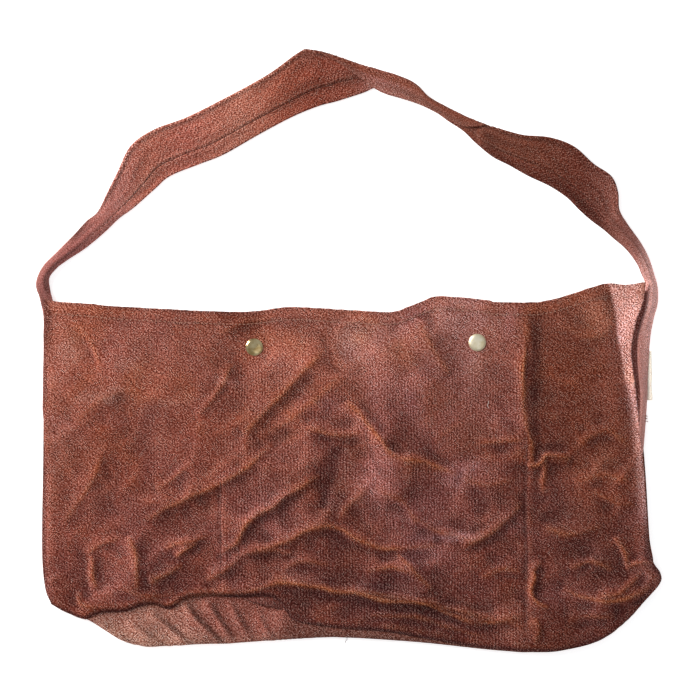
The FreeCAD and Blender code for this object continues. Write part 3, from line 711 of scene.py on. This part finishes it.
def cloth_material(name, warp=2.2, weft=2.0, relief=0.5, contrast=1.0, solid=False):
    """Coarse plain weave of heathered yarn, with its pitches in mm.

    Each crossing differs from the ones beside it, and slubs run along the yarns. A solid grain doesn't
    stretch where the cloth spreads out from a tight fold.
    """
    n = Nodes(name)
    dye = n.attribute("dye")
    place = n.attribute("weave")["Vector"]
    if solid:
        scaled = n.add("ShaderNodeVectorMath", operation="SCALE")
        n.join(n.add("ShaderNodeTexCoord").outputs["Object"], scaled.inputs[0])
        scaled.inputs["Scale"].default_value = 1 / MM
        place = scaled.outputs[0]
    parts = n.add("ShaderNodeSeparateXYZ")
    n.join(place, parts.inputs[0])
    drift = n.maths("MULTIPLY", n.noise(place, 0.06, 2.0), 4.0)
    x = n.maths("ADD", parts.outputs[0], drift)
    y = n.maths("ADD", parts.outputs[1], drift)
    warp_wave = n.maths("SINE", n.maths("MULTIPLY", x, 2 * math.pi / warp))
    weft_wave = n.maths("SINE", n.maths("MULTIPLY", y, 2 * math.pi / weft))
    checks = n.maths("MULTIPLY", n.maths("ADD", warp_wave, weft_wave), 0.5)
    rib = n.maths("MULTIPLY", n.maths("SINE", n.maths("MULTIPLY", x, 2 * math.pi / 2.5)), dye["Alpha"])
    rib = n.maths("MULTIPLY", rib, n.maths("MULTIPLY", n.noise(place, 0.12, 2.0), 1.4))
    cells = [n.maths("FLOOR", n.maths("DIVIDE", v, 0.42 * pitch)) for v, pitch in
             zip((x, y, parts.outputs[2]), (warp, weft, warp))]
    shades = []
    for step in ((0, 0), (1, 0), (0, 1)):
        crossing = n.add("ShaderNodeCombineXYZ")
        n.join(n.maths("ADD", cells[0], float(step[0])), crossing.inputs[0])
        n.join(n.maths("ADD", cells[1], float(step[1])), crossing.inputs[1])
        n.join(cells[2], crossing.inputs[2])
        chance = n.add("ShaderNodeTexWhiteNoise", noise_dimensions="3D")
        n.join(crossing.outputs[0], chance.inputs["Vector"])
        shades.append(chance.outputs["Value"])
    beside = n.maths("ADD", shades[1], shades[2])
    heather = n.maths("ADD", n.maths("MULTIPLY_ADD", beside, -0.4, shades[0]), 0.4)
    along = n.add("ShaderNodeMapping")
    along.inputs["Scale"].default_value = (0.9, 0.12, 1)
    n.join(place, along.inputs["Vector"])
    slub = n.noise(along.outputs[0], 1.0, 2.0, 0.7)
    fuzz = n.noise(place, 1.1, 2.0, 0.6)
    yarn = n.maths("ADD", n.maths("MULTIPLY", heather, 0.8), n.maths("MULTIPLY", slub, 0.24))
    yarn = n.maths("ADD", yarn, n.maths("MULTIPLY", fuzz, 0.3))
    yarn = n.maths("ADD", yarn, n.maths("MULTIPLY", n.maths("MULTIPLY_ADD", checks, 0.5, rib), 0.16))
    level = n.maths("MULTIPLY_ADD", n.maths("SUBTRACT", yarn, 0.67), 1.34 * contrast, 0.955)
    level = n.maths("MAXIMUM", level, 0.1)
    channels = n.add("ShaderNodeCombineXYZ")
    for slot, power in zip(channels.inputs, (1.45, 2.2, 2.5)):
        n.join(n.maths("POWER", level, power), slot)
    tint = n.add("ShaderNodeVectorMath", operation="MULTIPLY")
    n.join(dye["Color"], tint.inputs[0])
    n.join(channels.outputs[0], tint.inputs[1])
    pale = n.add("ShaderNodeMix", data_type="RGBA")
    bright = n.maths("MAXIMUM", n.maths("SUBTRACT", level, 1.12), 0.0)
    n.join(n.maths("MULTIPLY", bright, 0.4), pale.inputs["Factor"])
    n.join(tint.outputs[0], pale.inputs[6])
    pale.inputs[7].default_value = (0.66, 0.42, 0.34, 1)
    n.join(pale.outputs[2], n.shader.inputs["Base Color"])
    height = n.maths("ADD", n.maths("MULTIPLY", checks, 0.25), n.maths("MULTIPLY", rib, 0.4))
    height = n.maths("ADD", height, n.maths("MULTIPLY", heather, 0.35))
    n.bump(height, relief, 0.0005)
    n.shader.inputs["Roughness"].default_value = 0.94
    n.shader.inputs["Specular IOR Level"].default_value = 0.08
    n.shader.inputs["Sheen Weight"].default_value = 0.03
    n.shader.inputs["Sheen Roughness"].default_value = 0.5
    n.shader.inputs["Sheen Tint"].default_value = (0.85, 0.62, 0.55, 1)
    return n.material


def thread_material():
    """Twisted thread: fine slanted plies on the stitch's own dye."""
    n = Nodes("thread")
    dye = n.attribute("dye")
    weave = n.attribute("weave")
    parts = n.add("ShaderNodeSeparateXYZ")
    n.join(weave["Vector"], parts.inputs[0])
    slant = n.maths("ADD", parts.outputs[0], parts.outputs[1])
    ply = n.maths("SINE", n.maths("MULTIPLY", slant, 2 * math.pi / 0.5))
    shade = n.maths("MULTIPLY_ADD", ply, 0.12, 0.95)
    tint = n.add("ShaderNodeVectorMath", operation="SCALE")
    n.join(dye["Color"], tint.inputs[0])
    n.join(shade, tint.inputs["Scale"])
    n.join(tint.outputs[0], n.shader.inputs["Base Color"])
    n.bump(ply, 0.5, 0.0001)
    n.shader.inputs["Roughness"].default_value = 0.8
    return n.material


def metal_material(name, bright, dark, rough):
    """Aged metal: tarnish in soft patches, and fine scratches."""
    n = Nodes(name)
    place = n.add("ShaderNodeTexCoord").outputs["Object"]
    tarnish = n.noise(place, 130.0, 3.0, 0.55)
    fine = n.noise(place, 1800.0, 2.0, 0.6)
    ramp = n.add("ShaderNodeValToRGB")
    ramp.color_ramp.elements[0].position = 0.36
    ramp.color_ramp.elements[0].color = (*linear(dark), 1)
    ramp.color_ramp.elements[1].position = 0.62
    ramp.color_ramp.elements[1].color = (*linear(bright), 1)
    n.join(tarnish, ramp.inputs[0])
    n.join(ramp.outputs[0], n.shader.inputs["Base Color"])
    n.join(n.maths("MULTIPLY_ADD", tarnish, -0.3, rough + 0.2), n.shader.inputs["Roughness"])
    n.bump(fine, 0.05, 0.0001)
    n.shader.inputs["Metallic"].default_value = 1.0
    return n.material


# Pieces

def front_panel(cloth):
    """The front cloth, with its folds and its hem."""
    columns, rows = 400, 220
    top_line, bottom_line = spaced(TOP_EDGE, columns), spaced(BOTTOM_EDGE, columns)
    left_line, right_line = spaced(LEFT_EDGE, rows), spaced(RIGHT_EDGE, rows)
    plan = patch(top_line, bottom_line, left_line, right_line)
    x, y = plan[..., 0], plan[..., 1]
    fray = 0.25 * noise(x, y * 0, 5, 30) + 0.1 * noise(x, y * 0, 2, 31)
    y = y + fray * np.exp(-((np.arange(rows) / 3.0) ** 2))[:, None]
    z, crest, below_top = front_surface(x, y)
    thick = CLOTH + 1.1 * ease((HEM_DEPTH - below_top) / 1.2)
    dye = front_dye_and_painted_shading(x, y, z, crest, below_top)
    top = np.stack([x, y, z], -1)
    under = np.stack([x, y, z - thick], -1)
    weave = np.stack([x, y, z * 0], -1)
    piece = sheet_mesh("front_panel_cloth", top, under, dye, weave, cloth)
    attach(piece, "front")
    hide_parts("front_panel")
    return piece


def back_panel(cloth):
    """The back cloth, nearly flat, lifted a little over the snap posts."""
    columns, rows = 150, 86
    plan = patch(spaced(BACK_TOP_EDGE, columns), spaced(BACK_BOTTOM_EDGE, columns),
                 spaced(BACK_LEFT_EDGE, rows), spaced(BACK_RIGHT_EDGE, rows))
    x, y = plan[..., 0], plan[..., 1]
    wrinkle = 0.3 * np.clip(1 - 2.4 * np.abs(noise(x, y, 45, 40)), 0, 1)
    lift = np.zeros(x.shape)
    for cx, cy in SNAPS.values():
        lift = np.maximum(lift, ease((6.6 - np.hypot(x - cx, y - cy)) / 1.2))
    under = np.stack([x, y, 0.02 + wrinkle * 0.8 + 0.5 * lift], -1)
    top = np.stack([x, y, BACK_TOP + wrinkle * (1 - lift)], -1)
    dye = tinted(top, BACK_DYE, 42)
    piece = sheet_mesh("back_panel_cloth", top, under, dye, np.stack([x, y, x * 0], -1), cloth)
    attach(piece, "back")
    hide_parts("back_panel")
    return piece


def inner_pocket(cloth):
    """The patch pocket, which follows the front panel from beneath."""
    columns, rows = 120, 84
    low = [(POCKET_X[0], -206), (-60, -222), (0, -236), (60, -242), (POCKET_X[1], -248)]
    left = [(POCKET_X[0], POCKET_MOUTH), (POCKET_X[0], -140), (POCKET_X[0], -206)]
    right = [(POCKET_X[1], POCKET_MOUTH), (POCKET_X[1], -160), (POCKET_X[1], -248)]
    mouth = [(POCKET_X[0], POCKET_MOUTH), (20, POCKET_MOUTH - 1.5), (POCKET_X[1], POCKET_MOUTH)]
    plan = patch(spaced(mouth, columns), spaced(low, columns), spaced(left, rows), spaced(right, rows))
    x, y = plan[..., 0], plan[..., 1]
    z = front_surface(x, y)[0] - CLOTH - 0.15
    z = z - 0.4 * ease((y - POCKET_MOUTH + 12) / 6)
    top = np.stack([x, y, z], -1)
    under = np.stack([x, y, z - 0.9], -1)
    piece = sheet_mesh("inner_pocket_cloth", top, under, tinted(top, POCKET_DYE, 46, 0.8),
                       np.stack([x, y, x * 0], -1), cloth)
    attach(piece, "front")
    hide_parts("inner_pocket")
    return piece


def side_gusset(side, cloth):
    """A strip from the back's edge in to its fold, out again past the front's edge, and up to the front."""
    left = side == "left"
    inward = 1 if left else -1
    rows = 110
    y = np.linspace(36 if left else 50, -206, rows)
    front_line = curve(LEFT_EDGE if left else RIGHT_EDGE)[::-1]
    back_line = curve(BACK_LEFT_EDGE if left else BACK_RIGHT_EDGE)[::-1]
    front_x = np.interp(y, front_line[:, 1], front_line[:, 0])
    back_x = np.interp(y, back_line[:, 1], back_line[:, 0])
    lobe = (1.0 if left else 5.0) * ease((y + 75) / 30) * (0.9 + 0.3 * noise(y, y * 0, 20, 50))
    sway = 1.3 * noise(y, y * 0, 24, 51)
    tip = front_x - lobe * inward
    path = [(back_x + 3 * inward, 1.95), (back_x + 12 * inward, 2.3), (back_x + 30 * inward, 3.1),
            (back_x + (37 + sway) * inward, 3.8), (front_x + 30 * inward, 4.5), (front_x + 10 * inward, 5.0),
            (tip + 2 * inward, 5.15), (tip, 5.5), (tip + 2.5 * inward, 5.8), (front_x + 7 * inward, 6.1)]
    across = []
    for r in range(rows):
        row = np.array([[px[r], y[r], pz] for px, pz in path])
        across.append(spaced(row, 64))
    middle = np.array(across)
    if not left:
        middle = middle[:, ::-1]
    top, under = thickened(middle, 0.7)
    dye = tinted(middle, SIDE_GUSSET_DYE, 52, 0.0)
    piece = sheet_mesh(side + "_gusset_cloth", top, under, dye, grid_weave(middle), cloth)
    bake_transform(piece)
    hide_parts(side + "_gusset")
    return piece


def bottom_gusset(cloth):
    """A strip from the front panel's lower seam out to its fold and back in to the back panel."""
    columns = 240
    seam = spaced(BOTTOM_EDGE, columns)
    fold = spaced(GUSSET_FOLD, columns)
    back = spaced(BACK_BOTTOM_EDGE, columns)
    x = fold[:, 0]
    shown = np.linalg.norm(fold - seam, axis=1)
    inner = seam + np.array([0, 6.0])
    grid = []
    for t in range(columns):
        f = fold[t]
        s = seam[t]
        path = np.array([[*inner[t], 5.6], [*s, 5.7], [*(s * 0.55 + f * 0.45), 6.0],
                         [*(s * 0.2 + f * 0.8), 5.2], [*f, 3.7],
                         [*(f * 0.9 + back[t] * 0.1 + [0, 2.5]), 2.4], [*(back[t] + [0, 6.0]), 1.9]])
        grid.append(spaced(path, 46))
    middle = np.array(grid).transpose(1, 0, 2)
    px, py = middle[..., 0], middle[..., 1]
    open_part = ease(shown / 22)[None, :] * ease((middle[..., 2] - 3.2) / 1.5)
    pleats = np.zeros(px.shape)
    for tall, gentle, steep, points in GUSSET_PLEATS:
        away, side, along = nearest(px, py, spaced(points, 16))
        width = np.where(side > 0, gentle, steep)
        pleats += tall * np.sin(math.pi * along) ** 0.5 * np.exp(-(away / width) ** 1.4)
    crumple = 0.9 * noise(px, py, 22, 60) + 0.5 * (1 - 2 * np.abs(noise(px, py, 15, 61)))
    middle[..., 2] += open_part * np.clip(pleats + crumple, -1.4, 4)
    top, under = thickened(middle, 0.9)
    dye = tinted(middle, GUSSET_DYE, 62, 0.0)
    redder = 0.7 * ease((px + 165) / 75) + 0.6 * ease((-205 - px) / 20)
    above_fold = py - np.interp(px, x, fold[:, 1])
    redder = np.clip(redder + 0.55 * ease((2 + above_fold) / 22), 0, 1)[..., None]
    dye[..., :3] = dye[..., :3] * (1 - redder) + tinted(middle, GUSSET_RED, 65)[..., :3] * redder
    dye[..., :3] *= 1 - 0.42 * ease((px + 66) / 24)[..., None]
    # Painted light and shade on the pleats: lighter where a slope faces left towards the key lamp, darker
    # where it faces away
    relief = open_part * (pleats + crumple)
    lit = np.clip(np.gradient(relief, axis=1) / 0.9, -1, 1)[..., None]
    dye[..., :3] *= 1 + 0.5 * lit
    piece = sheet_mesh("bottom_gusset_cloth", top, under, dye, grid_weave(middle), cloth)
    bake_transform(piece)
    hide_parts("bottom_gusset")
    return piece


def strap_ribs():
    """The strap's free edge, fold and inner edge at many stations along it."""
    ribs = np.array([rib if len(rib) == 3 else [rib[0], *rib] for rib in STRAP_RIBS], float)
    fine = np.stack([curve(ribs[:, k]) for k in range(3)], 1)
    return fine[::2]


def strap_middle():
    """The middle of the strap's double cloth as a grid: rows along it, columns from outer to inner edge."""
    ribs = strap_ribs()
    free, fold, inner = ribs[:, 0], ribs[:, 1], ribs[:, 2]
    over = np.linalg.norm(free - fold, axis=1)
    flat = np.linalg.norm(fold - inner, axis=1)
    share = (over / (over + flat))[:, None]
    columns = 56
    q = np.linspace(0, 1, columns)[None, :]
    first = np.clip(q / np.maximum(share, 1e-6), 0, 1)
    second = np.clip((q - share) / (1 - share), 0, 1)
    on_top = (q < share)[..., None]
    plan = np.where(on_top, free[:, None] + (fold - free)[:, None] * first[..., None],
                    fold[:, None] + (inner - fold)[:, None] * second[..., None])
    run = np.r_[0, np.cumsum(np.linalg.norm(np.diff((fold + inner) / 2, axis=0), axis=1))][:, None]
    upper = ease((share - q) / 0.07)
    crown = 6.0 * ease((26 - flat) / 16)[:, None] * (1 - ease(over / 4))[:, None]
    z = STRAP_LEVEL + 3.4 * upper + crown * np.sin(math.pi * q) ** 0.8
    flatness = ease((flat - 14) / 20)[:, None]
    u = run + 0 * q
    w = q * STRAP_WIDTH
    waves = 1.3 * noise(u * 0.5, w, 22, 70) + 0.9 * (1 - 2 * np.abs(noise(u * 0.45, w, 14, 71)))
    off_edges = np.sin(math.pi * np.clip(q, 0.02, 0.98)) ** 0.4
    z = z + np.clip(waves, -0.4, 3) * (0.25 + 0.75 * flatness) * off_edges
    lap = 0.75 * ease((LAP_SEAM - q) / 0.015) - 0.5 * bell(q - LAP_SEAM, 0.014)
    z = z + lap * (0.3 + 0.7 * flatness)
    z = z + 1.2 * bell(q - share - 0.03, 0.04) * flatness
    right_tail = ease((30 - plan[..., 1]) / 20) * (plan[..., 0] > 200)
    left_tail = ease((58 - plan[..., 1]) / 14) * (plan[..., 0] < -200)
    z = z + (4.1 + 0.35 * (z - STRAP_LEVEL) - z) * right_tail
    z = z + (3.9 - z) * left_tail
    return np.concatenate([plan, z[..., None]], -1), run[:, 0], share[:, 0], q[0]


def strap_dye_and_painted_shadow(middle, run, share, q):
    """Colour of each place on the strap, with the strength of its ribs as a fourth value."""
    x = middle[..., 0]
    stops = np.array([s for s, _ in STRAP_DYES], float)
    colours = np.array([linear(c) for _, c in STRAP_DYES])
    colour = np.stack([np.interp(x, stops, colours[:, k]) for k in range(3)], -1)
    u = run[:, None] + 0 * q[None, :]
    w = q[None, :] * STRAP_WIDTH + 0 * u
    mottle = 1 + 0.12 * noise(u * 0.5, w, 18, 72) + 0.08 * noise(u, w, 7, 73) + 0.06 * noise(u, w, 3, 74)
    mottle = mottle + 0.2 * noise(u * 0.1, w, 7, 76) + 0.12 * noise(u * 0.14 + 0.3 * w, w, 4, 77)
    q = q[None, :]
    share = share[:, None]
    dusty = bell(q - LAP_SEAM, 0.09) * (0.5 + 0.5 * noise(u * 0.3, w * 0, 20, 75))
    colour = toward(colour, STRAP_DUST, (0.35 * dusty + 0.2 * bell(q, 0.14)) * (1 - ease((x - 90) / 30)))
    turned_under = ease((q / np.maximum(share, 1e-6) - 0.5) / 0.2) * ease((share - 0.08) / 0.1) * (q < share)
    colour = toward(colour, STRAP_UNDERSIDE, 0.8 * turned_under)
    low_edge = ease((q - 0.72) / 0.08) * ease((x - 100) / 20) * ease((232 - x) / 20)
    colour = toward(colour, STRAP_LOW_EDGE, 0.6 * low_edge)
    # Painted shadow on the fold's dark side near the strap's left end
    colour = toward(colour, STRAP_PAINTED_SHADOW, 0.85 * bell(x + 233, 9) * bell(q - 0.1, 0.16))
    groove = bell(q - LAP_SEAM, 0.016)
    colour = colour * (0.95 * mottle * (1 - 0.45 * groove))[..., None] * np.array(STRAP_CAST)
    return np.concatenate([np.clip(colour, 0, 1), np.full(x.shape + (1,), 0.2)], -1)


def strap(cloth, thread):
    """The doubled band with its lap seam, and the stitches of that seam."""
    middle, run, share, q = strap_middle()
    flat = np.linalg.norm(middle[:, -1, :2] - middle[:, 0, :2], axis=1)
    dye = strap_dye_and_painted_shadow(middle, run, share, q)
    weave = np.stack([q[None, :] * STRAP_WIDTH + 0 * run[:, None], run[:, None] + 0 * q[None, :],
                      0 * (run[:, None] + q[None, :])], -1)
    thick = STRAP_THICK * (0.75 + 0.25 * ease(flat / 20))[:, None] + 0 * q[None, :]
    top, under = thickened(middle[:, ::-1], thick)
    under[..., 2] = np.maximum(under[..., 2], 0.05)
    order = slice(None, None, -1)
    piece = sheet_mesh("strap_band", top[order], under[order], dye[order, ::-1], weave[order, ::-1], cloth)
    blend_strap(piece)
    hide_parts("strap", "strap_left_end", "strap_right_end")
    above = top[:, ::-1]
    rows = slice(110, -180)
    line = above[rows, int(LAP_SEAM * len(q)) - 3] + [0, 0, 0.12]
    seam = stitches("strap_seam_stitches", line, STRAP_THREAD, thread, pitch=3.0, long=2.2, radius=0.28)
    blend_strap(seam)
    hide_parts("strap_seam_thread")
    return piece


def blend_strap(piece):
    """Bake the piece's placement into its mesh."""
    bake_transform(piece)


def on_front(points, lift=0.1):
    """A line over the front panel's top surface, from its plan."""
    x, y = points[:, 0], points[:, 1]
    return np.stack([x, y, front_surface(x, y)[0] + lift], 1)


def sewing(thread):
    """All runs of thread, apart from the strap's."""
    hem = spaced(TOP_EDGE, 260)[4:-4] - [0, HEM_DEPTH]
    pieces = [("front_hem_stitches", on_front(hem, 0.05), "front", "front_hem_thread", FRONT_HEM_THREAD)]
    left = np.stack([np.full(60, POCKET_X[0] + 4), np.linspace(-112, -202, 60)], 1)
    right = np.stack([np.full(90, POCKET_X[1] + 1), np.linspace(-70, -242, 90)], 1)
    pocket = [on_front(left), on_front(right)]
    back_hem = spaced(BACK_TOP_EDGE, 120)[8:-22] - [0, HEM_DEPTH]
    back_hem = np.c_[back_hem, np.full(len(back_hem), BACK_TOP + 0.3)]
    pieces.append(("back_hem_stitches", back_hem, "back", "back_hem_thread", BACK_THREAD))
    for name, line, body, node, dye in pieces:
        piece = stitches(name, line, dye, thread)
        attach(piece, body)
        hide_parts(node)
    for name, line in zip(("pocket_left_stitches", "pocket_right_stitches"), pocket):
        piece = stitches(name, line, POCKET_THREAD, thread, radius=0.28)
        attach(piece, "front")
        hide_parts("pocket_thread")
    for side in ("left", "right"):
        low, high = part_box(side + "_bartack_thread")
        low, high = np.array(low) / MM, np.array(high) / MM
        rows = []
        for y in np.linspace(low[1], high[1], 4):
            rows += [(low[0], y, high[2]), (high[0], y, high[2])]
        piece = stitches(side + "_bartack_stitches", np.array(rows), BACK_THREAD, thread, pitch=2.6, long=2.0)
        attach(piece, "back")
        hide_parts(side + "_bartack_thread")


def label_tab(tape):
    """The blank woven label at the right edge."""
    low, high = (np.array(c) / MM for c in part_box("label_tab"))
    rows, columns = 44, 12
    x, y = np.meshgrid(np.linspace(low[0], high[0] - 1.4, columns), np.linspace(high[1], low[1], rows))
    x = x + 0.8 * noise(x * 0, y, 11, 80)
    z = high[2] + 0.5 * noise(x, y, 12, 81) + 2.2 * ease((x - low[0]) / 7)
    middle = np.stack([x, y, z], -1)
    top, under = thickened(middle, 0.5)
    piece = sheet_mesh("label_tape", top, under, tinted(middle, LABEL_DYE, 82, 0.0, 0.03),
                       np.stack([x, y, x * 0], -1), tape)
    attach(piece, "back")
    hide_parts("label_tab")
    return piece


def loose_fibres(thread):
    """A pale fleck of fibre on the front, and the tail of a thread at the lower seam."""
    fleck = np.array([(119.0, -50.0), (117.8, -47.5), (118.8, -45.0), (118.4, -43.0)])
    tail = np.array([(-4.0, -244.0), (-2.5, -248.0), (-4.0, -250.5), (-3.0, -252.5)])
    threads = [("fibre_fleck", fleck, FLECK_DYE, None), ("thread_tail", tail, TAIL_DYE, 5.4)]
    for name, plan, dye, level in threads:
        line = spaced(plan, 12)
        z = on_front(line, 0.3)[:, 2] if level is None else np.linspace(level, level - 2, len(line))
        piece = stitches(name, np.c_[line, z], dye, thread, pitch=1.0, long=1.3, radius=0.22)
        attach(piece, "front")


def metal_parts():
    """The snaps keep their CAD shapes and get their own metals."""
    brass = metal_material("aged_brass", *BRASS)
    painted_highlight_brass = metal_material("painted_highlight_brass", *PAINTED_HIGHLIGHT_BRASS)
    steel = metal_material("spring_steel", *STEEL)
    for name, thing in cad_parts.items():
        if "_snap_" in name:
            metal = steel if name.endswith("spring") else brass
            # The right cap gets the paler brass as a painted highlight
            if name == "right_snap_cap":
                metal = painted_highlight_brass
            thing.data.materials.clear()
            thing.data.materials.append(metal)


# Stage

def plain_material(name, colour):
    """One colour, for the floor."""
    n = Nodes(name)
    n.shader.inputs["Base Color"].default_value = (*linear(colour), 1)
    n.shader.inputs["Roughness"].default_value = 0.9
    return n.material


def stage():
    """A white floor, soft light all round and two lamps."""
    floor_mesh = bpy.data.meshes.new("floor")
    far = 4.0
    level = -0.0003
    corners = [(-far, -far, level), (far, -far, level), (far, far, level), (-far, far, level)]
    floor_mesh.from_pydata(corners, [], [(0, 1, 2, 3)])
    white = plain_material("floor_white", (250, 250, 250))
    floor_shader = white.node_tree.nodes["Principled BSDF"]
    floor_shader.inputs["Emission Color"].default_value = (1, 1, 1, 1)
    floor_shader.inputs["Emission Strength"].default_value = 0.6
    floor_mesh.materials.append(white)
    floor = bpy.data.objects.new("floor", floor_mesh)
    bpy.context.scene.collection.objects.link(floor)
    world = bpy.data.worlds.new("studio")
    world.use_nodes = True
    background = world.node_tree.nodes["Background"]
    background.inputs["Color"].default_value = (0.94, 0.97, 1.0, 1)
    background.inputs["Strength"].default_value = 0.42
    bpy.context.scene.world = world
    lamps = [("key", (-1.4, 0.8, 0.95), 0.8, 40.0, (1.0, 0.97, 0.94)),
             ("fill", (0.6, -0.5, 1.8), 1.4, 3.0, (1, 1, 1))]
    for name, place, size, power, colour in lamps:
        lamp = bpy.data.lights.new(name, "AREA")
        lamp.size = size
        lamp.energy = power
        lamp.color = colour
        thing = bpy.data.objects.new(name, lamp)
        thing.location = place
        aim = -thing.location
        thing.rotation_euler = aim.to_track_quat("-Z", "Y").to_euler()
        bpy.context.scene.collection.objects.link(thing)


def camera():
    """Straight above the middle of the sack, with its top towards the top of the picture."""
    data = bpy.data.cameras.new("camera")
    view_width = 0.602
    height = 2.4
    data.sensor_width = 36
    data.lens = 36 * height / view_width
    data.clip_end = 20
    thing = bpy.data.objects.new("camera", data)
    thing.location = (0, 0, height)
    bpy.context.scene.collection.objects.link(thing)
    bpy.context.scene.camera = thing
    bpy.context.scene.view_settings.view_transform = "Standard"


panel_cloth = cloth_material("panel_cloth")
gusset_cloth = cloth_material("gusset_cloth", solid=True)
strap_cloth = cloth_material("strap_cloth", warp=2.1, weft=2.1)
tape = cloth_material("label_tape_weave", warp=1.0, weft=1.0, relief=0.3, contrast=0.3)
thread = thread_material()
front = front_panel(panel_cloth)
back = back_panel(panel_cloth)
pocket = inner_pocket(panel_cloth)
left = side_gusset("left", gusset_cloth)
right = side_gusset("right", gusset_cloth)
bottom = bottom_gusset(gusset_cloth)
band = strap(strap_cloth, thread)
sewing(thread)
label_tab(tape)
loose_fibres(thread)
metal_parts()
stage()
camera()
